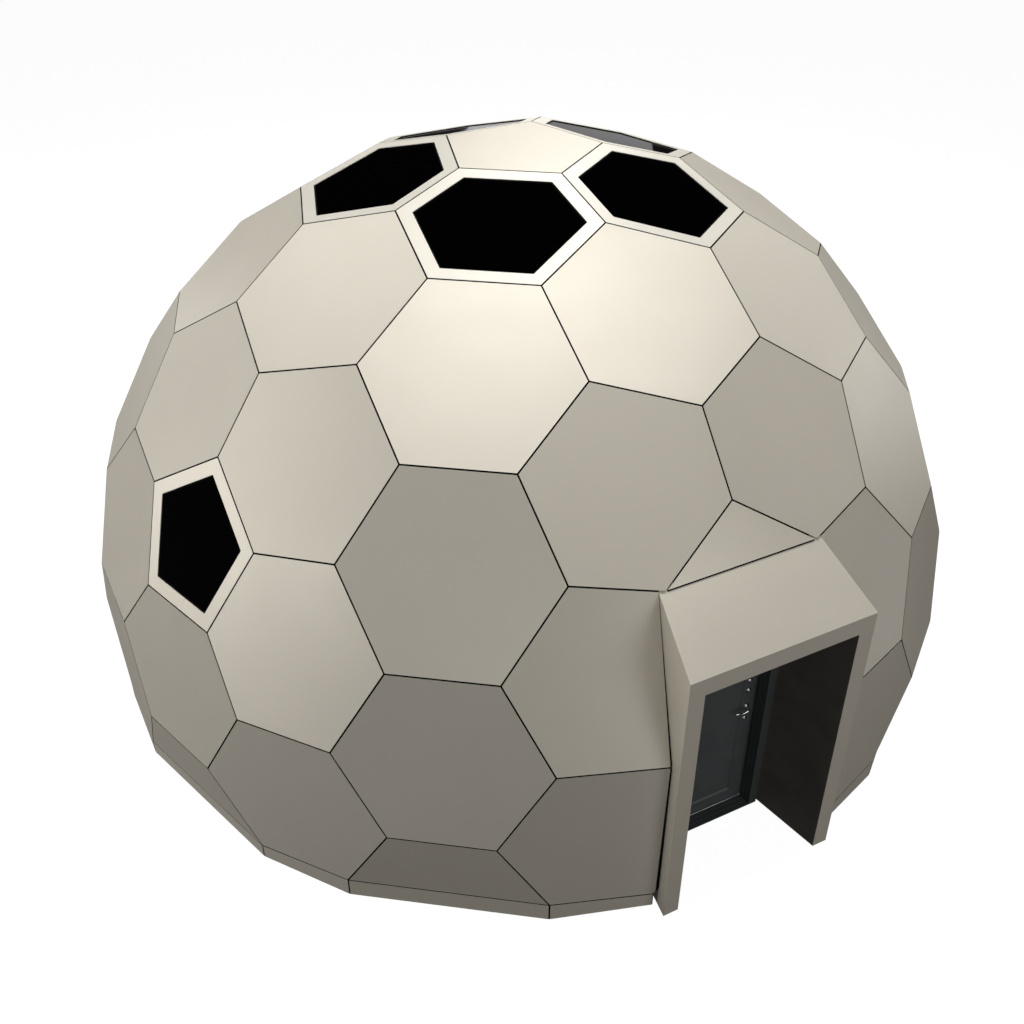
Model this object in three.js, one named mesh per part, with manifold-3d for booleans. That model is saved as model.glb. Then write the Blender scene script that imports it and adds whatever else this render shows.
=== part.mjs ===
// Steel dome house: a faceted shell of flat hexagonal and pentagonal wall cassettes that stands on a
// low plinth, with five skylights, four pentagonal windows and a porch with a door that opens inwards.
// Millimetres, +Z up. The origin is on the ground under the centre of the dome and the porch faces -Y.
// A bearing is an angle in plan, counted from the porch (-Y) towards +X.
import * as THREE from 'three';
import { mergeVertices } from 'three/addons/utils/BufferGeometryUtils.js';
import Module from 'manifold-3d';

const wasm = await Module();
wasm.setup();

// ---- Shell ----
const SPHERE_RADIUS = 3500; // the sphere that the flat faces of the shell touch
const PLINTH_HEIGHT = 120; // the lower lengths of the plinth, which is higher where the shell is cut higher
const WALL = 120; // insulated cassette wall
const RING_TILT = 16.75; // degrees from a pentagon's axis to the axes of the hexagons round it
const PENTAGON_PROUD = 4.5; // pentagons stand this far outside the sphere
const SPAN_INSET = 2.3; // hexagons midway between two pentagons lie this far inside it
const JOINT = 12; // open joint between two cassettes
const JOINT_DEPTH = 40;
const FIT = 0.3; // gap between pieces that touch

// ---- Glazing ----
const SASH = 97; // frame between the joint and the glass
const SASH_REBATE = 16; // the ledge that carries the pane
const GLASS = 24; // sealed double pane
const GLASS_RECESS = 8;
const GLASS_PLAY = 2; // round the pane and under it

// ---- Porch ----
const PORCH_PROUD = 55; // its front plane beyond the sphere
const PORCH_DEPTH = 705;
const PORCH_LAP = 46; // each side of the roof reaches this far past the entrance's pentagon
const PORCH_FLARE = 10; // degrees, the side walls close in towards the back
const PORCH_WALL = 120;
const PORCH_JOINT = 3; // between the porch and the outer skin of the shell, at the roof's back edge
const PORCH_FOOT_JOINT = 26; // and at the ground
const ROOF_SHADOW = 18; // from the gable down to the roof
const ROOF_PITCH = 29.5; // degrees
const ROOF_THICK = 120;
const LINING = 8;
const LINING_SETBACK = 2; // behind the front plane
const PASSAGE = 563; // from the front plane to the end of the linings

// ---- Door set ----
const FRAME_FORWARD = 21; // the casing stands this far out into the passage
const FRAME_HALF = 483;
const FRAME_HEIGHT = 2050;
const FRAME_PLAY = 2; // between the door frame and the porch walls
const CASING = 68; // flat face of the frame round the opening
const REBATE_STEPS = 3; // steps between the casing and the leaf
const REBATE_STEP = 4.5; // each step narrows the opening this much
const SILL_STEP = 7; // each step of the threshold rises this much
const SILL_HEIGHT = 26;
const REVEAL = 108; // from the casing to the leaf
const LEAF_THICK = 60;
const LEAF_LAP = 12; // the frame covers this much of the leaf's edge
const LEAF_SILL_LAP = 5; // and this much of its lower edge
const LEAF_STOP_PLAY = 5; // between the leaf and the stop in front of it
const LEAF_SIDE_PLAY = 9; // beside the leaf, because its free corner swings wide
const LEAF_END_PLAY = 6; // above and below the leaf
const STILE = 125; // plain border of the leaf at each side of its sunk field
const RAIL = 112; // and above and below it
const FIELD_DEPTH = 9;
const FIELD_BEVEL = 14;

// ---- Hinges and handles ----
const KNUCKLE_RADIUS = 9;
const KNUCKLE_LENGTH = 55;
const KNUCKLE_PLAY = 1;
const PIN_OUT = 6; // the hinge axis beyond the leaf's edge
const PIN_BACK = 10; // and behind its inner face
const LUG_LAP = 2; // each knuckle's lug runs this far into the knuckle and into what carries it
const LUG_LENGTH = 24;
const LUG_BACK = 4; // the lug's back face behind the hinge axis
const HINGE_HEIGHTS = [240, 1010, 1780];
const HANDLE_HEIGHT = 996;
const HANDLE_INSET = 85; // centre of the rose from the leaf's free edge
const ROSE_RADIUS = 26;
const ROSE_THICK = 9;
const ROSE_TAPER = 2;
const LEVER_RADIUS = 9.5;
const LEVER_OUT = 48; // lever's centre line in front of the leaf
const LEVER_LENGTH = 118;

// ---- Floor ----
const FLOOR_THICK = 15;
const FLOOR_PLAY = 4; // between the floor and the walls round it

const UP = new THREE.Vector3(0, 0, 1);
const SNAP = 0.05; // points closer than this are one point
const FAR = 6000; // longer than any piece, for cutting tools
const rad = THREE.MathUtils.degToRad;

const group = new THREE.Group();
group.name = 'steel_dome_house';

// ---- Materials ----
const paint = () => new THREE.MeshStandardMaterial({ color: 0xe6e0d0, roughness: 0.45, metalness: 0 });
const glass = () => new THREE.MeshStandardMaterial({ color: 0x07080a, roughness: 0.05, metalness: 0 });
const lining = () => new THREE.MeshStandardMaterial({ color: 0x2a2623, roughness: 0.6, metalness: 0 });
const frameGrey = () => new THREE.MeshStandardMaterial({ color: 0x282c2e, roughness: 0.5, metalness: 0 });
const leafGrey = () => new THREE.MeshStandardMaterial({ color: 0x323537, roughness: 0.5, metalness: 0 });
const chrome = () => new THREE.MeshStandardMaterial({ color: 0xc8c9cb, roughness: 0.2, metalness: 1 });
const deck = () => new THREE.MeshStandardMaterial({ color: 0x8a8780, roughness: 0.7, metalness: 0 });

// ---- Solids ----
// A closed geometry as a manifold solid.
function solid(geometry) {
  geometry.deleteAttribute('normal');
  geometry.deleteAttribute('uv');
  const merged = mergeVertices(geometry, 1e-3);
  return new wasm.Manifold(new wasm.Mesh({
    numProp: 3,
    vertProperties: merged.attributes.position.array,
    triVerts: new Uint32Array(merged.index.array),
  }));
}

// A manifold solid as a named mesh in the house.
function addMesh(name, shape, material) {
  const made = shape.getMesh();
  const geometry = new THREE.BufferGeometry();
  geometry.setAttribute('position', new THREE.BufferAttribute(made.vertProperties, 3));
  geometry.setIndex(new THREE.BufferAttribute(made.triVerts, 1));
  geometry.computeVertexNormals();
  const mesh = new THREE.Mesh(geometry, material);
  mesh.name = name;
  group.add(mesh);
}

const unite = (shapes) => shapes.reduce((sum, shape) => sum.add(shape));

// The box between two corners.
function box(x0, y0, z0, x1, y1, z1) {
  const geometry = new THREE.BoxGeometry(x1 - x0, y1 - y0, z1 - z0);
  return solid(geometry.translate((x0 + x1) / 2, (y0 + y1) / 2, (z0 + z1) / 2));
}

// A plan outline of [x, y] points raised from z0 to z1.
function raise(points, z0, z1) {
  const shape = new THREE.Shape(points.map(([x, y]) => new THREE.Vector2(x, y)));
  const geometry = new THREE.ExtrudeGeometry(shape, { depth: z1 - z0, bevelEnabled: false });
  return solid(geometry.translate(0, 0, z0));
}

// A side outline of [y, z] points drawn out from x = -half to x = half.
function widen(points, half) {
  const shape = new THREE.Shape(points.map(([y, z]) => new THREE.Vector2(y, z)));
  const geometry = new THREE.ExtrudeGeometry(shape, { depth: 2 * half, bevelEnabled: false });
  const axes = new THREE.Matrix4().set(0, 0, 1, -half, 1, 0, 0, 0, 0, 1, 0, 0, 0, 0, 0, 1);
  return solid(geometry.applyMatrix4(axes));
}

// ---- The polyhedron: 12 pentagons and 110 hexagons round a sphere ----
function direction(polar, bearing) {
  const p = rad(polar);
  const b = rad(bearing);
  return new THREE.Vector3(Math.sin(p) * Math.sin(b), -Math.sin(p) * Math.cos(b), Math.cos(p));
}

// The axes of the pentagons are an icosahedron's corners, with one of them straight up.
function pentagonAxes() {
  const ringPolar = THREE.MathUtils.radToDeg(Math.atan(2));
  const axes = [direction(0, 0), direction(180, 0)];
  for (let i = 0; i < 5; i++) {
    axes.push(direction(ringPolar, 72 * i));
    axes.push(direction(180 - ringPolar, 72 * i + 36));
  }
  return axes;
}

// One plane for each face: its outward normal and its distance from the sphere's centre.
function facePlanes() {
  const axes = pentagonAxes();
  const near = (a, b) => a !== b && a.angleTo(b) < rad(70);
  const planes = axes.map((n) => ({ n, d: SPHERE_RADIUS + PENTAGON_PROUD }));
  axes.forEach((a, i) => axes.slice(i + 1).forEach((b, j) => {
    if (!near(a, b)) return;
    planes.push({ n: a.clone().add(b).normalize(), d: SPHERE_RADIUS - SPAN_INSET });
    axes.slice(i + j + 2).filter((c) => near(a, c) && near(b, c)).forEach((c) => {
      const middle = a.clone().add(b).add(c).normalize();
      planes.push({ n: middle, d: SPHERE_RADIUS });
      [a, b, c].forEach((corner) => planes.push({ n: tilted(corner, middle), d: SPHERE_RADIUS }));
    });
  }));
  return planes;
}

// The corner's axis turned by RING_TILT towards the middle of its triangle.
function tilted(corner, middle) {
  const turn = new THREE.Vector3().crossVectors(corner, middle).normalize();
  return corner.clone().applyAxisAngle(turn, rad(RING_TILT));
}

// The part of a convex polygon where n . p <= d.
function clip(points, n, d) {
  const kept = [];
  points.forEach((p, i) => {
    const q = points[(i + 1) % points.length];
    const dp = n.dot(p) - d;
    const dq = n.dot(q) - d;
    if (dp <= SNAP) kept.push(p);
    if ((dp < -SNAP && dq > SNAP) || (dp > SNAP && dq < -SNAP)) {
      kept.push(p.clone().lerp(q, dp / (dp - dq)));
    }
  });
  return kept;
}

// Every corner of the shell once, so that neighbouring faces share theirs.
const corners = [];
function shared(point) {
  const known = corners.find((corner) => corner.distanceTo(point) < SNAP);
  if (!known) corners.push(point);
  return known ?? point;
}

// A face's outline about the sphere's centre, anticlockwise seen from outside.
function outline(plane, planes) {
  const turn = new THREE.Quaternion().setFromUnitVectors(UP, plane.n);
  const side = SPHERE_RADIUS;
  const square = [[-side, -side], [side, -side], [side, side], [-side, side]];
  let points = square.map(([x, y]) => new THREE.Vector3(x, y, plane.d).applyQuaternion(turn));
  planes.filter((other) => other !== plane && other.n.angleTo(plane.n) < rad(45)).forEach((other) => {
    points = clip(points, other.n, other.d);
  });
  return points.map(shared);
}

const planes = facePlanes();
const faces = planes.map((plane) => ({ ...plane, points: outline(plane, planes) }));

// The face whose axis is nearest to a direction.
function face(polar, bearing) {
  const aim = direction(polar, bearing);
  return faces.reduce((best, one) => (one.n.angleTo(aim) < best.n.angleTo(aim) ? one : best));
}

// The part of a face above a level, which is counted from the sphere's centre.
function above(one, level) {
  return { ...one, points: clip(one.points, UP.clone().negate(), -level) };
}

// The shell ends at the two lowest corners of its upright hexagons.
const [BASE_LOW, BASE_HIGH] = face(90, 18).points.map((p) => p.z).sort((a, b) => a - b);
const CENTRE = new THREE.Vector3(0, 0, PLINTH_HEIGHT - BASE_LOW);

// ---- Pieces of the shell ----
// A point of the outer surface moved in towards the sphere's centre, in the frame of the house.
function sunk(point, depth) {
  return point.clone().multiplyScalar(1 - depth / SPHERE_RADIUS).add(CENTRE);
}

const edgesOf = ({ points }) => points.map((p, i) => [p, points[(i + 1) % points.length]]);

// The edges that only one face of a patch has.
function borderOf(patch) {
  const edges = patch.flatMap(edgesOf);
  return edges.filter(([p, q]) => !edges.some(([a, b]) => a === q && b === p));
}

// A convex outline with every side moved in by a distance.
function inset(points, distance) {
  return points.map((p, i) => {
    const back = points.at(i - 1).clone().sub(p).normalize();
    const on = points[(i + 1) % points.length].clone().sub(p).normalize();
    const reach = distance / back.clone().cross(on).length();
    return p.clone().addScaledVector(back, reach).addScaledVector(on, reach);
  });
}

// A patch's corner, moved off the patch's border by half of FIT.
function cleared(point, patch) {
  const around = patch.filter(({ points }) => points.includes(point));
  if (around.length > 2) return point;
  const inAll = (p) => around.every(({ points }) => points.includes(p));
  const common = around[0].points.filter((p) => p !== point && inAll(p));
  const aim = common.reduce((sum, p) => sum.add(p), new THREE.Vector3()).divideScalar(common.length);
  const step = FIT / 2 / Math.sin(rad(60));
  return point.clone().add(aim.sub(point).setLength(step));
}

// Triangles of a convex outline, and of a quadrilateral.
const fan = (points) => points.slice(2).flatMap((p, i) => [points[0], points[i + 1], p]);
const meshOf = (triangles) => solid(new THREE.BufferGeometry().setFromPoints(triangles));

// The band between two outlines with as many corners, where the first is the outer or the upper one.
function band(first, second) {
  return first.flatMap((p, i) => {
    const j = (i + 1) % first.length;
    return fan([first[j], p, second[i], second[j]]);
  });
}

// The solid between two outlines with as many corners, where the first is the outer or the upper one.
function loft(first, second) {
  return meshOf([...fan(first), ...band(first, second), ...fan(second.slice().reverse())]);
}

// The wall under a patch of faces: a cassette on each face, with open joints between them, on an inner
// layer that runs through. A bare face has the inner layer alone.
function wallOf(patch) {
  const triangles = [];
  const rimOf = (one, depth) => one.points.map((p) => sunk(cleared(p, patch), depth));
  patch.forEach((one) => {
    const rim = rimOf(one, JOINT_DEPTH);
    const [top, foot] = [0, JOINT_DEPTH].map((depth) => (
      inset(one.points, JOINT / 2).map((p) => sunk(p, depth))));
    triangles.push(...(one.bare ? fan(rim) : [...fan(top), ...band(top, foot), ...band(foot, rim)]));
    triangles.push(...fan(rimOf(one, WALL).reverse()));
  });
  borderOf(patch).forEach(([p, q]) => {
    const ends = [q, p, p, q].map((point) => cleared(point, patch));
    triangles.push(...fan(ends.map((point, i) => sunk(point, i < 2 ? JOINT_DEPTH : WALL))));
  });
  return meshOf(triangles);
}

// A plate on a face, inset from its outline, between two depths below the surface.
function plate({ n, points }, distance, top, bottom) {
  const [upper, lower] = [top, bottom].map((depth) => (
    inset(points, distance).map((p) => p.addScaledVector(n, -depth).add(CENTRE))));
  return loft(upper, lower);
}

// What is left of a shape when the specks that a cut leaves are dropped.
function mainBody(shape) {
  return shape.decompose().reduce((a, b) => (b.volume() > a.volume() ? b : a));
}

// ---- The porch's outer form, which the shell is cut back from ----
// Distances in the porch are counted from the dome's axis towards the front.
const PORCH_FRONT = SPHERE_RADIUS + PORCH_PROUD;
const PORCH_BACK = PORCH_FRONT - PORCH_DEPTH;
const LINING_END = PORCH_FRONT - PASSAGE;
const entrance = face(63, 0);
const entranceHalf = Math.max(...entrance.points.map((p) => p.x));
const gableLevel = entrance.points.find((p) => p.x === entranceHalf).z;

// The roof's back edge lies on the entrance's pentagon, just below its widest line.
const roofEdge = new THREE.Vector3(0, 0, gableLevel - ROOF_SHADOW);
roofEdge.y = (entrance.d - roofEdge.z * entrance.n.z) / entrance.n.y;
const flareSlope = Math.tan(rad(PORCH_FLARE));
const roofSlope = Math.tan(rad(ROOF_PITCH));
const halfAt = (distance) => entranceHalf + PORCH_LAP + (distance + roofEdge.y) * flareSlope;
const roofTopAt = (distance) => CENTRE.z + roofEdge.z - (distance + roofEdge.y) * roofSlope;
const sideShift = (thickness) => thickness / Math.cos(rad(PORCH_FLARE));
const roofShift = (thickness) => thickness / Math.cos(rad(ROOF_PITCH));

// The flared plan between two distances from the dome's centre, its sides moved in by a thickness.
function flaredPlan(front, back, thickness) {
  const f = halfAt(front) - sideShift(thickness);
  const b = halfAt(back) - sideShift(thickness);
  return [[-f, -front], [f, -front], [b, -back], [-b, -back]];
}

// The space under the roof's top plane lowered by a thickness.
function underRoof(front, back, thickness) {
  const top = (distance) => roofTopAt(distance) - roofShift(thickness);
  return widen([[-front, -FAR], [-back, -FAR], [-back, top(back)], [-front, top(front)]], FAR);
}

function porchForm(margin) {
  const front = PORCH_FRONT + WALL;
  const back = PORCH_BACK - margin;
  return raise(flaredPlan(front, back, -margin), -FAR, FAR).intersect(underRoof(front, back, -margin));
}

// The form with the joint round it, which widens towards the ground.
function porchJoint() {
  const front = PORCH_FRONT + WALL;
  const plan = (margin) => flaredPlan(front, PORCH_BACK, -margin);
  const rim = (margin, z) => plan(margin).map(([x, y]) => new THREE.Vector3(x, y, z));
  const wedge = loft(rim(PORCH_JOINT, CENTRE.z + gableLevel), rim(PORCH_FOOT_JOINT, 0));
  return porchForm(PORCH_JOINT).add(wedge.intersect(underRoof(front, PORCH_BACK, -PORCH_JOINT)));
}

// The cut through the shell, with the joint in its outer skin alone.
const core = meshOf(faces.flatMap(({ points }) => fan(points.map((p) => sunk(p, JOINT_DEPTH)))));
const porchCut = porchForm(FIT).add(porchJoint().subtract(core));

// ---- Shell nodes ----
// A glazed face: its frame, and the pane that lies on the frame's ledge.
function addWindow(one, frameName, glassName) {
  const edge = SASH + JOINT / 2;
  const ledge = GLASS_RECESS + GLASS + GLASS_PLAY;
  const hole = plate(one, edge, -JOINT, ledge).add(plate(one, edge + SASH_REBATE, 0, 2 * WALL));
  addMesh(frameName, wallOf([one]).subtract(hole), paint());
  addMesh(glassName, plate(one, edge + GLASS_PLAY, GLASS_RECESS, GLASS_RECESS + GLASS), glass());
}

// The upper wall of one fifth of the dome, from the skylight down to the window heads.
function upperPatch(bearing) {
  return [
    face(37, bearing),
    face(58, bearing),
    face(51, bearing - 24),
    face(51, bearing + 24),
    face(32, bearing + 36),
  ];
}

// The lower wall of one fifth, down to the plinth.
function lowerPatch(bearing) {
  return [
    face(79, bearing),
    face(69, bearing - 19),
    face(69, bearing + 19),
    face(90, bearing - 18),
    face(90, bearing + 18),
    above(face(100, bearing), BASE_HIGH),
  ];
}

// The wall below the window at a bearing.
function sillPatch(bearing) {
  return [face(80, bearing), above(face(101, bearing), BASE_LOW)];
}

// Beside the porch the inner layer of the wall runs on to the porch, under the missing sill panels.
function porchReturn(patch, side) {
  const missing = sillPatch(0).map((one) => ({ ...one, bare: true }));
  const half = box(side > 0 ? 0 : -FAR, -FAR, -FAR, side > 0 ? FAR : 0, FAR, FAR);
  return wallOf([...patch, ...missing]).intersect(half);
}

function addSectors() {
  for (let i = 0; i < 5; i++) {
    const bearing = 36 + 72 * i;
    const number = i + 1;
    addWindow(face(17, bearing), `skylight_frame_${number}`, `skylight_glass_${number}`);
    addMesh(`upper_wall_${number}`, mainBody(wallOf(upperPatch(bearing)).subtract(porchCut)), paint());
    const lower = lowerPatch(bearing);
    if (i < 4) {
      lower.push(...sillPatch(bearing + 36));
      addWindow(face(63, bearing + 36), `window_frame_${number}`, `window_glass_${number}`);
    }
    const side = [1, 0, 0, 0, -1][i];
    const wall = side ? porchReturn(lower, side) : wallOf(lower);
    addMesh(`lower_wall_${number}`, mainBody(wall.subtract(porchCut)), paint());
  }
}

// The triangle of the entrance's pentagon that is left above the porch roof.
function addGable() {
  addMesh('gable_panel', mainBody(wallOf([above(entrance, gableLevel)]).subtract(porchForm(FIT))), paint());
}

// ---- Plinth ----
// The lower border of the shell, from one side of the entrance round to the other.
function plinthLine() {
  const lower = lowerPatch(36);
  for (let i = 1; i < 5; i++) lower.push(...lowerPatch(36 + 72 * i), ...sillPatch(72 * i));
  const bearingOf = ([p, q]) => (Math.atan2(p.x + q.x, -p.y - q.y) + 2 * Math.PI) % (2 * Math.PI);
  const lowest = borderOf(lower).filter(([p, q]) => Math.max(p.z, q.z) < BASE_HIGH + SNAP);
  return lowest.sort((a, b) => bearingOf(a) - bearingOf(b));
}

// An upright cross-section of the plinth under a point of the shell's border, between two depths and
// lowered from the shell. Its top points at the sphere's centre.
function plinthSection(point, near, far, lowered) {
  const top = [near, far].map((depth) => sunk(point, depth));
  top.forEach((p) => p.setZ(p.z - lowered));
  const foot = top.map((p) => p.clone().setZ(0));
  return [...top, ...foot.reverse()];
}

// The solid that runs through cross-sections with as many corners.
function sweep(sections) {
  const sides = sections.slice(1).flatMap((section, i) => band(sections[i], section));
  return meshOf([...fan(sections[0]), ...sides, ...fan(sections.at(-1).slice().reverse())]);
}

// The outer skin of one length of plinth, with open joints over it and at its ends.
function plinthSkin([p, q]) {
  const short = q.clone().sub(p).setLength(JOINT / 2);
  const ends = [p.clone().add(short), q.clone().sub(short)];
  return sweep(ends.map((end) => plinthSection(end, 0, JOINT_DEPTH + FIT, JOINT / 2)));
}

function addPlinth() {
  const line = plinthLine();
  const third = Math.floor(line.length / 3);
  const parts = [line.slice(0, third), line.slice(third, -third), line.slice(-third)];
  ['plinth_right', 'plinth_back', 'plinth_left'].forEach((name, i) => {
    const border = [parts[i][0][0], ...parts[i].map(([, q]) => q)];
    const core = sweep(border.map((point) => plinthSection(point, JOINT_DEPTH, WALL, FIT)));
    const ends = [border[0], border.at(-1)].map(endSlice);
    addMesh(name, unite([core, ...parts[i].map(plinthSkin)]).subtract(unite(ends)), paint());
  });
}

// A thin upright slice that parts two lengths of plinth at a corner.
function endSlice(point) {
  const geometry = new THREE.BoxGeometry(FIT, 4 * WALL, FAR);
  geometry.rotateZ(Math.atan2(-point.x, point.y));
  return solid(geometry.translate(point.x, point.y, 0));
}

// ---- Floor ----
function addFloor() {
  const line = plinthLine();
  const rim = [...line.map(([p]) => p), line.at(-1)[1]];
  const margin = 1 - (WALL + FLOOR_PLAY) / (SPHERE_RADIUS * Math.cos(Math.PI / 10));
  const plan = rim.map((p) => [p.x * margin, p.y * margin]);
  const cut = raise(flaredPlan(PORCH_FRONT + WALL, PORCH_BACK - FLOOR_PLAY, -FLOOR_PLAY), -FAR, FAR);
  addMesh('floor_deck', raise(plan, 0, FLOOR_THICK).subtract(cut), deck());
}

// ---- Porch ----
const innerRoof = ROOF_THICK - LINING - FIT;

function addPorchRoof() {
  const form = raise(flaredPlan(PORCH_FRONT, PORCH_BACK, 0), 0, FAR);
  const front = underRoof(PORCH_FRONT + WALL, PORCH_BACK, 0).subtract(
    underRoof(PORCH_FRONT + WALL, PORCH_BACK - WALL, ROOF_THICK));
  const hollow = underRoof(PORCH_FRONT - LINING_SETBACK, LINING_END, innerRoof);
  const inside = raise(flaredPlan(PORCH_FRONT, PORCH_BACK - WALL, PORCH_WALL + FIT), 0, FAR);
  addMesh('porch_roof', form.intersect(front).subtract(hollow.intersect(inside)), paint());
}

// A point in plan at a distance from the dome's centre, and at a depth in the thickness of a side wall.
function wallPoint(side, distance, depth) {
  return [side * (halfAt(distance) - sideShift(depth)), -distance];
}

// A side wall's plan raised to the underside of the roof.
function wallUnderRoof(side, plan) {
  const tall = raise(side > 0 ? plan.reverse() : plan, 0, FAR);
  return tall.intersect(underRoof(PORCH_FRONT + WALL, PORCH_BACK - WALL, ROOF_THICK + FIT));
}

// One side wall, rebated for its lining, with a return at the back that holds the door frame.
function porchWall(side) {
  const at = (distance, depth) => wallPoint(side, distance, depth);
  const front = PORCH_FRONT - LINING_SETBACK;
  const back = side * (FRAME_HALF + FRAME_PLAY);
  const plan = [
    at(PORCH_FRONT, 0),
    at(PORCH_FRONT, PORCH_WALL),
    at(front, PORCH_WALL),
    at(front, PORCH_WALL - LINING - FIT),
    at(LINING_END, PORCH_WALL - LINING - FIT),
    [back, -LINING_END],
    [back, -PORCH_BACK],
    at(PORCH_BACK, 0),
  ];
  return wallUnderRoof(side, plan);
}

function porchLining(side) {
  const at = (distance, depth) => wallPoint(side, distance, depth);
  const front = PORCH_FRONT - LINING_SETBACK - FIT;
  const back = LINING_END + FIT;
  const outer = PORCH_WALL - LINING;
  const plan = [at(front, outer), at(front, PORCH_WALL), at(back, PORCH_WALL), at(back, outer)];
  return wallUnderRoof(side, plan);
}

function addPorchLinings() {
  addMesh('porch_lining_right', porchLining(1), lining());
  addMesh('porch_lining_left', porchLining(-1), lining());
  const front = PORCH_FRONT - LINING_SETBACK - FIT;
  const back = LINING_END + FIT;
  const plan = raise(flaredPlan(front, back, PORCH_WALL + 2 * FIT), 0, FAR);
  const below = underRoof(front + FIT, back - FIT, ROOF_THICK);
  const sheet = underRoof(front, back, ROOF_THICK - LINING).subtract(below);
  addMesh('porch_ceiling', plan.intersect(sheet), lining());
}

// The wall over the door, between the porch walls and up to the roof.
function addTransom() {
  const half = FRAME_HALF + FRAME_PLAY - FIT;
  const block = box(-half, -LINING_END, FRAME_HEIGHT + FRAME_PLAY, half, -PORCH_BACK, FAR);
  const roof = underRoof(PORCH_FRONT, PORCH_BACK - WALL, ROOF_THICK + FIT);
  addMesh('transom_panel', block.intersect(roof), lining());
}

// ---- Door ----
const FRAME_FACE = LINING_END + FRAME_FORWARD;
const LEAF_FACE = FRAME_FACE - REVEAL;
const openingHalf = FRAME_HALF - CASING - (REBATE_STEPS - 1) * REBATE_STEP;
const openingTop = FRAME_HEIGHT - CASING - (REBATE_STEPS - 1) * REBATE_STEP;
const leafHalf = openingHalf + LEAF_LAP;
const leafTop = openingTop + LEAF_LAP;
const leafFoot = SILL_HEIGHT - LEAF_SILL_LAP;
const leafBack = LEAF_FACE - LEAF_THICK;
const stopBack = LEAF_FACE + LEAF_STOP_PLAY;
const pinX = -leafHalf - PIN_OUT;
const pinY = -leafBack + PIN_BACK;

// An upright hinge knuckle on the axis of the door, from z0 to z1.
function knuckle(z0, z1) {
  const geometry = new THREE.CylinderGeometry(KNUCKLE_RADIUS, KNUCKLE_RADIUS, z1 - z0, 12);
  return solid(geometry.rotateX(Math.PI / 2).translate(pinX, pinY, (z0 + z1) / 2));
}

// The box of a lug that carries a knuckle, from x0 to x1 and from z0 to z1.
function lug(x0, x1, z0, z1, carrierBack) {
  return box(x0, carrierBack - LUG_LAP, z0, x1, pinY + LUG_BACK, z1);
}

// The opening through the frame: steps that close in towards the leaf, and the leaf's own pocket.
function frameCuts() {
  const stepDepth = (FRAME_FACE - stopBack) / REBATE_STEPS;
  const cuts = [];
  for (let i = 0; i < REBATE_STEPS; i++) {
    const half = FRAME_HALF - CASING - i * REBATE_STEP;
    const top = FRAME_HEIGHT - CASING - i * REBATE_STEP;
    const sill = SILL_HEIGHT - (REBATE_STEPS - 1 - i) * SILL_STEP;
    const front = -FRAME_FACE + i * stepDepth;
    const end = i < REBATE_STEPS - 1 ? front + stepDepth : -PORCH_BACK + JOINT;
    cuts.push(box(-half, front - (i ? 0 : JOINT), sill, half, end, top));
  }
  const half = leafHalf + LEAF_SIDE_PLAY;
  const foot = leafFoot - LEAF_END_PLAY;
  cuts.push(box(-half, -stopBack, foot, half, -PORCH_BACK + JOINT, leafTop + LEAF_END_PLAY));
  return cuts;
}

function addDoorFrame() {
  let frame = box(-FRAME_HALF, -FRAME_FACE, 0, FRAME_HALF, -PORCH_BACK, FRAME_HEIGHT);
  frameCuts().forEach((cut) => {
    frame = frame.subtract(cut);
  });
  const end = pinX - KNUCKLE_RADIUS + LUG_LAP;
  HINGE_HEIGHTS.forEach((z) => {
    const low = z - KNUCKLE_LENGTH;
    const high = z - KNUCKLE_PLAY;
    frame = frame.add(knuckle(low, high)).add(lug(end - LUG_LENGTH, end, low, high, -PORCH_BACK));
  });
  addMesh('door_frame', frame, frameGrey());
}

// The sunk field on the outer side of the leaf, with sloping sides, as the shape that is cut out.
function leafField() {
  const x = leafHalf - STILE;
  const low = leafFoot + RAIL;
  const high = leafTop - RAIL;
  const rim = (by, y) => [
    [-x + by, y, low + by], [x - by, y, low + by], [x - by, y, high - by], [-x + by, y, high - by],
  ].map((c) => new THREE.Vector3(...c));
  const mouth = rim(-FIELD_BEVEL, -LEAF_FACE - FIELD_DEPTH);
  const bottom = rim(FIELD_BEVEL, -LEAF_FACE + FIELD_DEPTH);
  return loft(mouth, bottom);
}

function addDoorLeaf() {
  const slab = box(-leafHalf, -LEAF_FACE, leafFoot, leafHalf, -leafBack, leafTop);
  let leaf = slab.subtract(leafField());
  const start = pinX + LUG_LAP;
  HINGE_HEIGHTS.forEach((z) => {
    const high = z + KNUCKLE_LENGTH;
    leaf = leaf.add(knuckle(z, high)).add(lug(start, start + LUG_LENGTH, z, high, -leafBack));
  });
  addMesh('door_leaf', leaf, leafGrey());
}

// A lever on its rose, on one side of the leaf: -1 is outside and 1 in the room.
function addHandle(name, side) {
  const foot = side < 0 ? -LEAF_FACE - FIT : -leafBack + FIT;
  const post = LEVER_OUT + LEVER_RADIUS;
  const out = (geometry) => solid(geometry.rotateX(side < 0 ? Math.PI : 0));
  const rose = new THREE.CylinderGeometry(ROSE_RADIUS - ROSE_TAPER, ROSE_RADIUS, ROSE_THICK, 24);
  const neck = new THREE.CylinderGeometry(LEVER_RADIUS, LEVER_RADIUS, post, 12);
  const lever = new THREE.CapsuleGeometry(LEVER_RADIUS, LEVER_LENGTH - LEVER_RADIUS, 3, 12);
  const handle = unite([
    out(rose.translate(0, ROSE_THICK / 2, 0)),
    out(neck.translate(0, post / 2, 0)),
    out(lever.rotateZ(Math.PI / 2).translate(-LEVER_LENGTH / 2, LEVER_OUT, 0)),
  ]);
  addMesh(name, handle.translate([leafHalf - HANDLE_INSET, foot, HANDLE_HEIGHT]), chrome());
}

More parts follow.
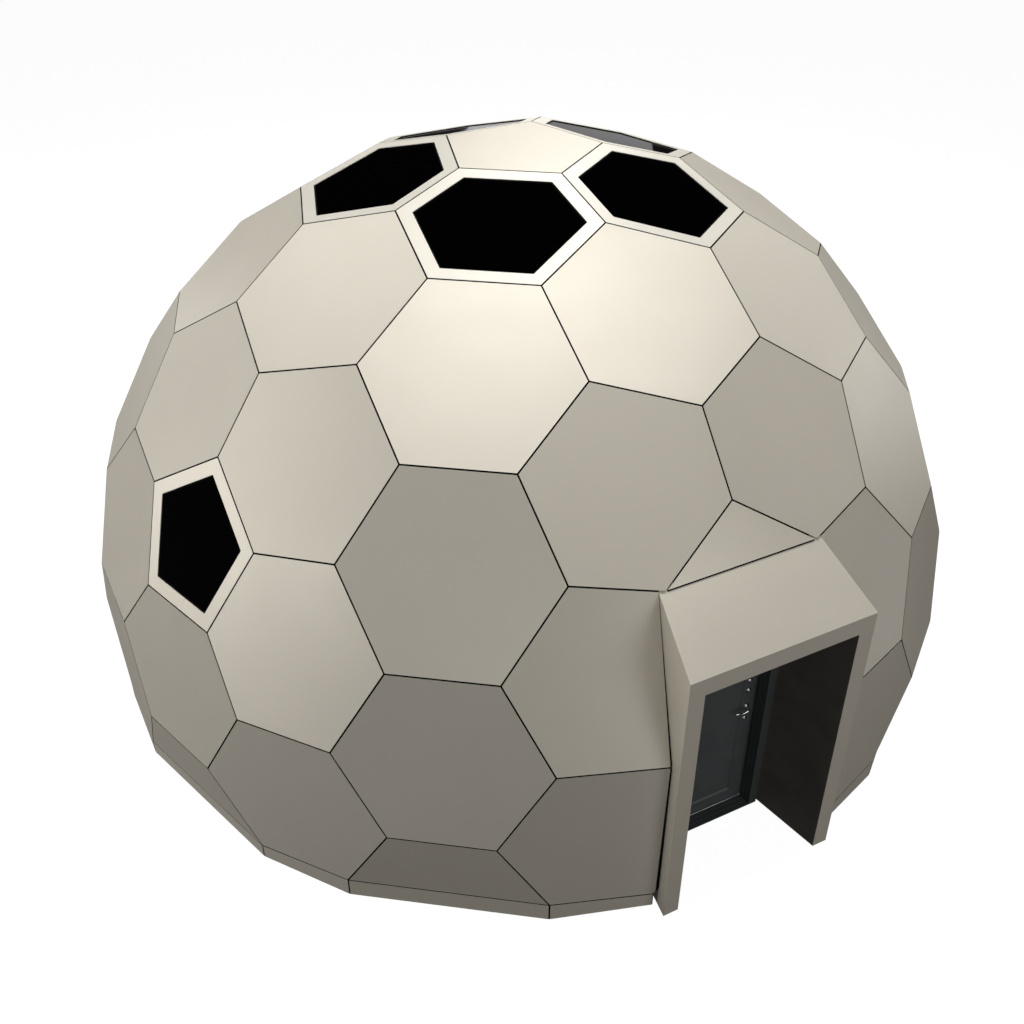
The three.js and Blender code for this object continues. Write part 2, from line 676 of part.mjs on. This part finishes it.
addMesh('crown_panel', wallOf([face(0, 0)]), paint());
addSectors();
addGable();
addPlinth();
addFloor();
addPorchRoof();
addMesh('porch_wall_right', porchWall(1), paint());
addMesh('porch_wall_left', porchWall(-1), paint());
addPorchLinings();
addTransom();
addDoorFrame();
addDoorLeaf();
addHandle('door_handle_outside', -1);
addHandle('door_handle_inside', 1);

export default group;
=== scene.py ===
"""Looks of the steel dome house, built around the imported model. Metres, +Z up, the porch faces -Y."""
import math
import bmesh
import bpy
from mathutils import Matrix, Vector


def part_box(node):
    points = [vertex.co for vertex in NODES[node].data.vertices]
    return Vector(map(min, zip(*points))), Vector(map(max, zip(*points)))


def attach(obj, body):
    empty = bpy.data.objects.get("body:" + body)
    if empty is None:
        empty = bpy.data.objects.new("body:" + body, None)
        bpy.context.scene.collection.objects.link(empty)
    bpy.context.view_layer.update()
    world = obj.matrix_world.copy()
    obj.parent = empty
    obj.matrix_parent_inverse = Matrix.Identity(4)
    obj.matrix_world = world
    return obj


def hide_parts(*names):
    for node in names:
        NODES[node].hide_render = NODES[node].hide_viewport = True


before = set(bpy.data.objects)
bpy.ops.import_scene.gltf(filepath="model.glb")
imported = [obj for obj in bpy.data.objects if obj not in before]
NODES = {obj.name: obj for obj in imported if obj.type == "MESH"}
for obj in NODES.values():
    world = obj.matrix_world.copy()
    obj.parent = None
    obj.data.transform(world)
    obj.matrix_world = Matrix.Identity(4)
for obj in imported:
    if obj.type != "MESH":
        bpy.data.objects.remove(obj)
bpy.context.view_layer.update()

# ---- The dome's own figures ----
SPHERE_RADIUS = 3.5
CROWN_PROUD = 0.0045  # the crown panel stands this far outside the sphere
CENTRE = Vector((0, 0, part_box("crown_panel")[1].z - SPHERE_RADIUS - CROWN_PROUD))
UP = Vector((0, 0, 1))
OUT = Vector((0, -1, 0))  # out of the porch
SAME_PLACE = 0.001  # points closer than this lie on one corner, edge or face

# ---- Camera ----
# Fitted to the corners of panels in the photo, then rounded.
CAMERA_AZIMUTH = math.radians(-27.5)
CAMERA_ELEVATION = math.radians(35.35)
CAMERA_DISTANCE = 10.775
CAMERA_RIGHT = -0.06
CAMERA_UP = 0.186
LENS = 42.0
SENSOR = 36.0
VIEW_END = 200


def add_camera():
    """The camera circles the sphere's centre, moved a little sideways and up to frame the dome."""
    a, e = CAMERA_AZIMUTH, CAMERA_ELEVATION
    back = Vector((math.sin(a) * math.cos(e), -math.cos(a) * math.cos(e), math.sin(e)))
    right = Vector((math.cos(a), math.sin(a), 0))
    up = back.cross(right)
    data = bpy.data.cameras.new("camera")
    data.lens = LENS
    data.sensor_width = SENSOR
    data.clip_end = VIEW_END
    camera = bpy.data.objects.new("camera", data)
    camera.location = CENTRE + back * CAMERA_DISTANCE + right * CAMERA_RIGHT + up * CAMERA_UP
    camera.rotation_euler = (math.pi / 2 - e, 0, a)
    bpy.context.scene.collection.objects.link(camera)
    bpy.context.scene.camera = camera


add_camera()

# ---- Studio ----
AMBIENT = 0.03
LIGHT_DISTANCE = 12
LIGHT_WIDTH = 5
# Each softbox: name, angle from straight up and bearing from the porch in degrees, and power in watts.
# The directions were chosen. The powers are rounded from a scratch program's fit to the photo's
# brightness, apart from those of back_right and back_left.
LIGHTS = [
    ("overhead", 0, 0, 335),
    ("overhead_left", 20, -60, 160),
    ("overhead_right", 20, 60, 195),
    ("overhead_front", 40, 0, 45),
    ("back_high_left", 38, -144, 95),
    ("back_high_right", 38, 144, 270),
    ("left_high", 57, -104, 80),
    ("left_side", 77, -84, 180),
    ("left_back", 77, -108, 165),
    ("front_low", 77, 12, 140),
    ("porch_fill", 77, -30, 40),
    ("right_high", 60, 104, 60),
    ("right_front", 60, 60, 20),
    ("right_side", 77, 84, 95),
    ("back_right", 77, 150, 60),
    ("back_left", 77, -150, 60),
    ("under_left", 98, -80, 40),
    ("under_front", 98, 0, 35),
    ("under_right", 98, 60, 20),
]
FLOOR_RADIUS = 70
FLOOR_RISE = 30  # height of the wall round the floor, which closes the horizon
FLOOR_STEPS = 48
FLOOR_GREY = 0.2
FLOOR_GLOW = 0.96


def direction(polar, bearing):
    """A unit vector at an angle from straight up, and a bearing in plan from the porch towards +X."""
    p, b = math.radians(polar), math.radians(bearing)
    return Vector((math.sin(p) * math.sin(b), -math.sin(p) * math.cos(b), math.cos(p)))


def add_light(name, polar, bearing, power):
    """A round softbox that faces the sphere's centre."""
    data = bpy.data.lights.new(name, "AREA")
    data.shape = "DISK"
    data.size = LIGHT_WIDTH
    data.energy = power
    light = bpy.data.objects.new(name, data)
    aim = direction(polar, bearing)
    light.location = CENTRE + aim * LIGHT_DISTANCE
    light.rotation_euler = aim.to_track_quat("Z", "Y").to_euler()
    light.visible_camera = False
    bpy.context.scene.collection.objects.link(light)


def add_world():
    world = bpy.data.worlds.new("studio")
    world.use_nodes = True
    background = world.node_tree.nodes["Background"]
    background.inputs["Color"].default_value = (1, 1, 1, 1)
    background.inputs["Strength"].default_value = AMBIENT
    bpy.context.scene.world = world


def add_floor():
    """A pale floor that the camera sees and that throws no light back at the house."""
    work = bmesh.new()
    rings = [[work.verts.new((0, 0, 0))]]
    first, second = Vector((FLOOR_RADIUS, 0, 0)), Vector((0, FLOOR_RADIUS, 0))
    for z in (0, FLOOR_RISE):
        rings.append(circle(work, UP * z, first, second, FLOOR_STEPS))
    for inner, outer in zip(rings, rings[1:]):
        join_rings(work, outer, inner)
    mesh = bpy.data.meshes.new("studio_floor")
    work.to_mesh(mesh)
    work.free()
    material = new_material("studio_floor", (FLOOR_GREY,) * 3, 1.0, specular=0.0)
    shader = material.node_tree.nodes["Principled BSDF"]
    shader.inputs["Emission Color"].default_value = (1, 1, 1, 1)
    shader.inputs["Emission Strength"].default_value = FLOOR_GLOW
    mesh.materials.append(material)
    floor = bpy.data.objects.new("studio_floor", mesh)
    bpy.context.scene.collection.objects.link(floor)
    floor.visible_diffuse = False
    floor.visible_glossy = False
    floor.visible_shadow = False


# ---- Making materials ----
NOISE_LOW, NOISE_HIGH = 0.3, 0.7  # nearly all of a noise lies between these


def new_material(name, colour, roughness, metallic=0.0, specular=0.5):
    """A Principled material, with its uniform values on the shader's own sockets."""
    material = bpy.data.materials.new(name)
    material.use_nodes = True
    shader = material.node_tree.nodes["Principled BSDF"]
    shader.inputs["Base Color"].default_value = (*colour, 1)
    shader.inputs["Roughness"].default_value = roughness
    shader.inputs["Metallic"].default_value = metallic
    shader.inputs["Specular IOR Level"].default_value = specular
    return material


def noise(material, scale, detail=2.0, stretch=(1, 1, 1)):
    """The value of a noise in object space, with about one wave a metre at a scale of 1."""
    nodes, links = material.node_tree.nodes, material.node_tree.links
    place = nodes.new("ShaderNodeTexCoord")
    mapping = nodes.new("ShaderNodeMapping")
    mapping.inputs["Scale"].default_value = stretch
    texture = nodes.new("ShaderNodeTexNoise")
    texture.inputs["Scale"].default_value = scale
    texture.inputs["Detail"].default_value = detail
    links.new(place.outputs["Object"], mapping.inputs["Vector"])
    links.new(mapping.outputs["Vector"], texture.inputs["Vector"])
    return texture.outputs["Fac"]


def vary_colour(material, value, low, high):
    """The base colour runs from low to high with a noise."""
    nodes, links = material.node_tree.nodes, material.node_tree.links
    ramp = nodes.new("ShaderNodeValToRGB")
    ramp.color_ramp.elements[0].position = NOISE_LOW
    ramp.color_ramp.elements[0].color = (*low, 1)
    ramp.color_ramp.elements[1].position = NOISE_HIGH
    ramp.color_ramp.elements[1].color = (*high, 1)
    links.new(value, ramp.inputs["Fac"])
    links.new(ramp.outputs["Color"], nodes["Principled BSDF"].inputs["Base Color"])


def vary_roughness(material, value, low, high):
    """The roughness runs from low to high with a noise."""
    nodes, links = material.node_tree.nodes, material.node_tree.links
    spread = nodes.new("ShaderNodeMapRange")
    spread.inputs["From Min"].default_value = NOISE_LOW
    spread.inputs["From Max"].default_value = NOISE_HIGH
    spread.inputs["To Min"].default_value = low
    spread.inputs["To Max"].default_value = high
    links.new(value, spread.inputs["Value"])
    links.new(spread.outputs["Result"], nodes["Principled BSDF"].inputs["Roughness"])


def add_bump(material, value, height, strength=1.0):
    """Bump of a height in metres. A second call adds to the first."""
    nodes, links = material.node_tree.nodes, material.node_tree.links
    shader = nodes["Principled BSDF"]
    bump = nodes.new("ShaderNodeBump")
    bump.inputs["Distance"].default_value = height
    bump.inputs["Strength"].default_value = strength
    links.new(value, bump.inputs["Height"])
    if shader.inputs["Normal"].is_linked:
        links.new(shader.inputs["Normal"].links[0].from_socket, bump.inputs["Normal"])
    links.new(bump.outputs["Normal"], shader.inputs["Normal"])


def tinted(colour, factor):
    return tuple(c * factor for c in colour)


# ---- The house's materials ----
# Metres, as the brick texture names them.
BOARD_SIZES = {"Scale": 1.0, "Brick Width": 2.2, "Row Height": 0.12, "Mortar Size": 0.002, "Bias": 0.0}
# Color1 and Color2 are the boards' own tones. Mortar paints the grooves nearly black, a painted shade in the
# gaps.
BOARD_TONES_AND_GROOVE_SHADE = {"Color1": 0.8, "Color2": 1.1, "Mortar": 0.08}
GROOVE_DEPTH = 0.002


def satin_paint(name, colour):
    """Satin coat with fine metal flakes on pressed steel, which is never quite flat."""
    material = new_material(name, colour, 0.40, metallic=0.27)
    vary_colour(material, noise(material, 1.3), tinted(colour, 0.985), tinted(colour, 1.01))
    vary_roughness(material, noise(material, 5), 0.38, 0.42)
    add_bump(material, noise(material, 1.1, detail=1.0), height=0.0015, strength=0.35)
    add_bump(material, noise(material, 700), height=0.0002, strength=0.3)
    return material


def dark_glass():
    """Panes that show nothing of the dark room and reflect hardly anything."""
    material = new_material("dark_glass", (0.0006, 0.0006, 0.0007), 0.03, specular=0.001)
    vary_roughness(material, noise(material, 3), 0.02, 0.05)
    add_bump(material, noise(material, 0.9, detail=0.0), height=0.0006, strength=0.3)
    return material


def rubber():
    colour = (0.005, 0.0048, 0.0042)
    material = new_material("gasket", colour, 0.75, specular=0.05)
    vary_colour(material, noise(material, 60), tinted(colour, 0.7), tinted(colour, 1.3))
    add_bump(material, noise(material, 900), height=0.0002, strength=0.4)
    return material


def dark_panel(name, colour, roughness, grain):
    """A dark coated panel with a fine grain."""
    material = new_material(name, colour, roughness, specular=0.4)
    vary_colour(material, noise(material, 4), tinted(colour, 0.9), tinted(colour, 1.1))
    vary_roughness(material, noise(material, 25), roughness - 0.05, roughness + 0.05)
    add_bump(material, noise(material, grain), height=0.0003, strength=0.35)
    return material


def chrome(name, roughness):
    """Bright metal with fine brush lines along X."""
    material = new_material(name, (0.72, 0.72, 0.73), roughness, metallic=1.0)
    lines = noise(material, 300, stretch=(0.1, 1, 1))
    vary_roughness(material, lines, roughness - 0.04, roughness + 0.04)
    add_bump(material, noise(material, 900, stretch=(0.05, 1, 1)), height=0.00005, strength=0.3)
    return material


def deck_boards():
    colour = (0.36, 0.30, 0.235)
    material = new_material("deck_boards", colour, 0.6)
    grain = noise(material, 14, detail=4, stretch=(0.08, 1, 1))
    vary_colour(material, grain, tinted(colour, 0.75), tinted(colour, 1.2))
    vary_roughness(material, noise(material, 8), 0.5, 0.68)
    fibres = noise(material, 120, detail=3, stretch=(0.05, 1, 1))
    add_bump(material, fibres, height=0.0006, strength=0.4)
    lay_boards(material)
    return material


def lay_boards(material):
    """Boards along X, each with its own tone, with narrow grooves between them. The grooves are painted
    nearly black: painted shade in the gaps.
    """
    nodes, links = material.node_tree.nodes, material.node_tree.links
    place = nodes.new("ShaderNodeTexCoord")
    boards = nodes.new("ShaderNodeTexBrick")
    links.new(place.outputs["Object"], boards.inputs["Vector"])
    for socket, value in BOARD_SIZES.items():
        boards.inputs[socket].default_value = value
    for socket, shade in BOARD_TONES_AND_GROOVE_SHADE.items():
        boards.inputs[socket].default_value = (shade, shade, shade, 1)
    base = nodes["Principled BSDF"].inputs["Base Color"]
    shaded = nodes.new("ShaderNodeMix")
    shaded.data_type = "RGBA"
    shaded.blend_type = "MULTIPLY"
    shaded.inputs["Factor"].default_value = 1
    links.new(base.links[0].from_socket, shaded.inputs["A"])
    links.new(boards.outputs["Color"], shaded.inputs["B"])
    links.new(shaded.outputs["Result"], base)
    groove = nodes.new("ShaderNodeInvert")
    links.new(boards.outputs["Fac"], groove.inputs["Color"])
    add_bump(material, groove.outputs["Color"], height=GROOVE_DEPTH)


PAINT = satin_paint("cream_paint", (0.80, 0.742, 0.632))
# The skylight frames take a lighter copy of the cream paint: painted light, for the strong light from
# overhead on them.
SKYLIGHT_LIT_PAINT = satin_paint("skylight_paint_painted_light", (0.93, 0.885, 0.775))
GLASS = dark_glass()
RUBBER = rubber()
LINING = dark_panel("porch_lining", (0.155, 0.136, 0.119), roughness=0.6, grain=500)
FRAME_GREY = dark_panel("frame_paint", (0.075, 0.084, 0.085), roughness=0.45, grain=650)
LEAF_GREY = dark_panel("leaf_paint", (0.098, 0.104, 0.106), roughness=0.42, grain=520)
CHROME = chrome("chrome", 0.14)
STEEL = chrome("brushed_steel", 0.28)
DECK = deck_boards()

# The material of each CAD node by the start of its name. All others are cream.
FINISHES = {
    "skylight_frame": SKYLIGHT_LIT_PAINT,
    "skylight_glass": GLASS,
    "window_glass": GLASS,
    "floor_deck": DECK,
    "porch_lining": LINING,
    "porch_ceiling": LINING,
    "transom_panel": LINING,
    "door_frame": FRAME_GREY,
    "door_leaf": LEAF_GREY,
    "door_handle": CHROME,
}


def finish_nodes():
    """Every CAD node takes its material."""
    for name, node in NODES.items():
        kinds = [finish for start, finish in FINISHES.items() if name.startswith(start)]
        node.data.materials.clear()
        node.data.materials.append(kinds[0] if kinds else PAINT)


# ---- Making pieces ----
TURN_STEPS = 32
ARC_STEPS = 6
ARC = [math.pi / 2 * k / ARC_STEPS for k in range(ARC_STEPS + 1)]  # a quarter turn


def add_piece(name, work, material, body, smooth=False):
    """A bmesh as a piece of the house that rides on a body."""
    mesh = bpy.data.meshes.new(name)
    bmesh.ops.recalc_face_normals(work, faces=work.faces)
    for face in work.faces:
        face.smooth = smooth
    work.to_mesh(mesh)
    work.free()
    mesh.materials.append(material)
    piece = bpy.data.objects.new(name, mesh)
    bpy.context.scene.collection.objects.link(piece)
    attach(piece, body)
    return piece


def join_rings(work, low, high):
    """The faces between two rings of vertices, either of which may be a single point."""
    count = max(len(low), len(high))
    for i in range(count):
        j = (i + 1) % count
        around = [low[i % len(low)], low[j % len(low)], high[j % len(high)], high[i % len(high)]]
        work.faces.new(list(dict.fromkeys(around)))


def circle(work, centre, first, second, steps):
    """A ring of vertices round a centre, from two vectors of its radius."""
    turns = [2 * math.pi * k / steps for k in range(steps)]
    return [work.verts.new(centre + first * math.cos(t) + second * math.sin(t)) for t in turns]


def add_tube(work, points, radii, across, steps=16):
    """A closed tube along points. Its ends have radius 0. It never runs along the vector across."""
    last = len(points) - 1
    rings = []
    for i, (point, radius) in enumerate(zip(points, radii)):
        along = (points[min(i + 1, last)] - points[max(i - 1, 0)]).normalized()
        first = along.cross(across).normalized() * radius
        rings.append(circle(work, point, first, along.cross(first), steps if radius else 1))
    for low, high in zip(rings, rings[1:]):
        join_rings(work, low, high)


def add_turned(work, origin, axis, profile):
    """A turned solid from (radius, height) points, of which the first and the last lie on the axis."""
    rings = []
    for radius, height in profile:
        steps = TURN_STEPS if radius else 1
        rings.append(circle(work, origin + axis * height, UP.cross(axis) * radius, UP * radius, steps))
    for low, high in zip(rings, rings[1:]):
        join_rings(work, low, high)


def add_moulding(work, points, normal, profile, closed=True):
    """A profile of (inward, upward) points along an outline, mitred at its corners."""
    count = len(points)
    ways = [(points[(i + 1) % count] - point).normalized() for i, point in enumerate(points)]
    rings = []
    for i, point in enumerate(points):
        beside = [ways[i - 1]] if closed or i else []
        beside += [ways[i]] if closed or i < count - 1 else []
        inward = sum((normal.cross(way) for way in beside), Vector())
        inward *= len(beside) / inward.length_squared
        rings.append([work.verts.new(point + inward * into + normal * up) for into, up in profile])
    for i in range(count if closed else count - 1):
        join_rings(work, rings[i], rings[(i + 1) % count])
    if not closed:
        work.faces.new(rings[0])
        work.faces.new(rings[-1])


# ---- Joint seals ----
SEALED = ("crown_panel", "skylight_frame", "window_frame", "upper_wall", "lower_wall", "gable_panel",
          "plinth")
SEAL_TOP = 0.0015  # below the outer surface
JOINT_DEPTH = 0.040
JOINT_FLOOR = (0.036, 0.042)  # the floor of a joint lies this far behind the face beside it
LIFT = (1 - SEAL_TOP / SPHERE_RADIUS) / (1 - JOINT_DEPTH / SPHERE_RADIUS)
WELD = 0.00005


def joint_floors(node):
    """The faces of a wall node that lie at the bottom of its joints, as lists of points."""
    mesh = node.data
    reaches = [(tuple(round(c, 2) for c in face.normal), face.normal.dot(face.center - CENTRE), face)
               for face in mesh.polygons]
    outermost = {}
    for way, reach, face in reaches:
        outermost[way] = max(reach, outermost.get(way, -SPHERE_RADIUS))
    floors = []
    for way, reach, face in reaches:
        if reach > 0 and JOINT_FLOOR[0] < outermost[way] - reach < JOINT_FLOOR[1]:
            floors.append([mesh.vertices[i].co.copy() for i in face.vertices])
    return floors


def lifted(point):
    """A point of a joint's floor moved out along its radius. What stands on the ground stays there."""
    moved = CENTRE + (point - CENTRE) * LIFT
    if point.z < SAME_PLACE:
        moved.z = point.z
    return moved


def add_seal(name, node):
    """A dark seal that fills a node's joints to just below the surface, if it has any."""
    work = bmesh.new()
    for points in joint_floors(node):
        work.faces.new([work.verts.new(p) for p in points])
    bmesh.ops.remove_doubles(work, verts=work.verts, dist=WELD)
    if not work.faces:
        work.free()
        return
    bottom = list(work.faces)
    made = bmesh.ops.extrude_face_region(work, geom=bottom, use_keep_orig=True)
    for vert in [v for v in made["geom"] if isinstance(v, bmesh.types.BMVert)]:
        vert.co = lifted(vert.co)
    bmesh.ops.reverse_faces(work, faces=bottom)
    add_piece(name, work, RUBBER, "shell")


def add_seals():
    for name in sorted(NODES):
        if name.startswith(SEALED):
            add_seal(f"seal_{name}", NODES[name])


# ---- Glazing seals, and the dark strip over the porch roof that paints the groove's shade ----
# Points of these profiles are (inward, upward) in metres.
GLAZING_PROFILE = [(-0.0015, 0.0002), (-0.0015, 0.004), (0.001, 0.005), (0.006, 0.0045), (0.010, 0.002),
                   (0.010, 0.0002)]
GROOVE_PROFILE = [(0.0005, -0.03), (0.0005, -0.004), (0.014, -0.009), (0.014, -0.03)]


def outer_face(points, normal):
    """The points that lie furthest out along a normal."""
    level = max(normal.dot(point) for point in points)
    return [point for point in points if normal.dot(point) > level - SAME_PLACE]


def pane_outline(pane):
    """The outward normal of a pane and the corners of its outer face, anticlockwise from outside."""
    points = [vertex.co.copy() for vertex in pane.data.vertices]
    middle = sum(points, Vector()) / len(points)
    normal = max((face.normal for face in pane.data.polygons), key=lambda n: n.dot(middle - CENTRE)).copy()
    corners = []
    for point in outer_face(points, normal):
        if all((point - corner).length > SAME_PLACE for corner in corners):
            corners.append(point)
    heart = sum(corners, Vector()) / len(corners)
    first = (corners[0] - heart).normalized()
    second = normal.cross(first)
    corners.sort(key=lambda p: math.atan2(second.dot(p - heart), first.dot(p - heart)))
    return normal, corners


def add_glazing_seals():
    for name in sorted(NODES):
        if "glass" in name:
            normal, corners = pane_outline(NODES[name])
            work = bmesh.new()
            add_moulding(work, corners, normal, GLAZING_PROFILE)
            add_piece(f"glazing_seal_{name}", work, RUBBER, "shell")


def add_gable_groove_painted_shade():
    """A dark rubber strip in the groove between the gable and the porch roof. Its dark colour is painted
    shade for the groove.
    """
    gable = NODES["gable_panel"].data
    outer = max(gable.polygons, key=lambda face: face.normal.dot(face.center - CENTRE))
    normal = outer.normal.copy()
    face = outer_face([vertex.co.copy() for vertex in gable.vertices], normal)
    foot = min(point.z for point in face)
    edge = sorted((point for point in face if point.z < foot + SAME_PLACE), key=lambda point: -point.x)
    work = bmesh.new()
    add_moulding(work, [edge[0], edge[-1]], normal, GROOVE_PROFILE, closed=False)
    add_piece("gable_groove_painted_shade", work, RUBBER, "shell")


# ---- Door fittings ----
LEAF_LOW, LEAF_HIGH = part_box("door_leaf")
LEAF_LAP = 0.012  # the frame covers this much of the leaf's edge
STOP_PLAY = 0.005  # from the frame's stop to the leaf
SILL_LAP = 0.005  # the threshold stands this much higher than the leaf's lower edge
DOOR_SEAL_PROFILE = [(0.002, 0.0001), (0.002, 0.003), (0.004, 0.0035), (0.008, 0.0035), (0.010, 0.002),
                     (0.010, 0.0001)]
STRIP_RADIUS = 0.0035
STRIP_CURL = 0.015  # radius of the rod's upturned ends
STRIP_END_PLAY = 0.006
STRIP_CAP = 0.001  # height of the rod's pointed ends
STRIP_STEPS = 10
LOCK_HEIGHTS = (0.877, 1.154, 1.248)  # above the ground
# Points of the lock and rose profiles are (radius, height) in metres.
LOCK_PROFILE = [(0, 0.0001), (0.0215, 0.0001), (0.0225, 0.001), (0.0225, 0.0035), (0.0215, 0.0055),
                (0.0175, 0.0085), (0.0105, 0.0105), (0.0098, 0.0098), (0.0085, 0.0098), (0.0075, 0.0112),
                (0, 0.0115)]
ROSE_RADIUS = 0.026
ROSE_PROFILE = [(0, 0), (0.0250, 0), (0.0260, 0.001), (0.0260, 0.004), (0.0248, 0.0065), (0.0215, 0.0085),
                (0.0150, 0.0095), (0.0125, 0.0105), (0.0115, 0.0135), (0.0105, 0.0145), (0, 0.0146)]
NECK_START = 0.008  # inside the rose
LEVER_RADIUS = 0.0088
LEVER_TAPER = 0.15  # the tip is this share thinner
LEVER_OUT = 0.048  # centre line of the grip in front of the leaf
LEVER_BEND = 0.016  # radius of the bend out of the neck
LEVER_REACH = 0.116  # from the neck to the end of the grip
LEVER_SAG = 0.010  # the grip hangs this much below the neck in its middle
LEVER_RETURN = 0.008  # the tip turns back this far to the leaf
GRIP_STEPS = 12
TIP_STEPS = [(0.003, 0.85), (0.005, 0.5), (0.0058, 0)]  # distance past the grip, and share of its radius


def add_door_seal():
    """The seal on the frame's stop, up one side of the leaf, over it and down the other."""
    half, top, y = LEAF_HIGH.x, LEAF_HIGH.z, LEAF_LOW.y - STOP_PLAY
    low = LEAF_LOW.z + SILL_LAP
    path = [Vector((x, y, z)) for x, z in ((-half, low), (-half, top), (half, top), (half, low))]
    work = bmesh.new()
    add_moulding(work, path, -OUT, DOOR_SEAL_PROFILE, closed=False)
    add_piece("door_seal", work, RUBBER, "shell")


def add_sill_strip():
    """A bright rod in the corner of the threshold, with both ends turned up."""
    x = LEAF_HIGH.x - LEAF_LAP - STRIP_END_PLAY - STRIP_CURL
    y = LEAF_LOW.y - STOP_PLAY - 2 * STRIP_RADIUS / 3
    z = LEAF_LOW.z + SILL_LAP + STRIP_RADIUS
    right = [Vector((x + STRIP_CURL * math.sin(t), y, z + STRIP_CURL * (1 - math.cos(t)))) for t in ARC]
    left = [Vector((-p.x, p.y, p.z)) for p in reversed(right)]
    points = [left[0] + UP * STRIP_CAP, *left, *right, right[-1] + UP * STRIP_CAP]
    radii = [0] + [STRIP_RADIUS] * (len(points) - 2) + [0]
    work = bmesh.new()
    add_tube(work, points, radii, OUT, STRIP_STEPS)
    add_piece("sill_strip", work, STEEL, "shell", smooth=True)


def handle_centre(name, side):
    """The middle of a handle's rose, on the leaf's face."""
    low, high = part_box(name)
    return Vector((high.x - ROSE_RADIUS, high.y if side < 0 else low.y, (low.z + high.z) / 2))


def lever_path():
    """The lever's centre line as (distance along the leaf, distance in front of it)."""
    path = [(0, NECK_START), (0, LEVER_OUT - LEVER_BEND)]
    path += [(LEVER_BEND * (1 - math.cos(t)), LEVER_OUT - LEVER_BEND * (1 - math.sin(t))) for t in ARC[1:]]
    for k in range(1, GRIP_STEPS + 1):
        share = k / GRIP_STEPS
        path.append((LEVER_BEND + (LEVER_REACH - LEVER_BEND) * share, LEVER_OUT - LEVER_RETURN * share ** 3))
    return path


def add_handle(node, side):
    """A round rose with a lever that bends out of its neck and hangs a little. Side -1 is outside."""
    origin, axis = handle_centre(node, side), Vector((0, side, 0))
    work = bmesh.new()
    add_turned(work, origin, axis, ROSE_PROFILE)
    points, radii = [], []
    for along, out in lever_path():
        drop = LEVER_SAG * math.sin(math.pi * along / LEVER_REACH) ** 2
        points.append(origin + axis * out + Vector((-along, 0, -drop)))
        radii.append(LEVER_RADIUS * (1 - LEVER_TAPER * along / LEVER_REACH))
    end, end_radius = points[-1], radii[-1]
    way = (end - points[-2]).normalized()
    for reach, share in TIP_STEPS:
        points.append(end + way * reach)
        radii.append(end_radius * share)
    add_tube(work, [points[0], *points], [0, *radii], UP)
    piece = add_piece(f"lever_{node}", work, CHROME, "door", smooth=True)
    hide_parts(node)


def add_lock_covers():
    """Three round covers on the leaf, in line with the handle."""
    rose = handle_centre("door_handle_outside", -1)
    work = bmesh.new()
    for height in LOCK_HEIGHTS:
        add_turned(work, Vector((rose.x, LEAF_LOW.y, height)), OUT, LOCK_PROFILE)
    add_piece("lock_covers", work, CHROME, "door", smooth=True)


# ---- The scene ----
finish_nodes()
add_seals()
add_glazing_seals()
add_gable_groove_painted_shade()
add_door_seal()
add_sill_strip()
add_handle("door_handle_outside", -1)
add_handle("door_handle_inside", 1)
add_lock_covers()
add_floor()
add_world()
for light in LIGHTS:
    add_light(*light)
bpy.context.scene.view_settings.view_transform = "Standard"
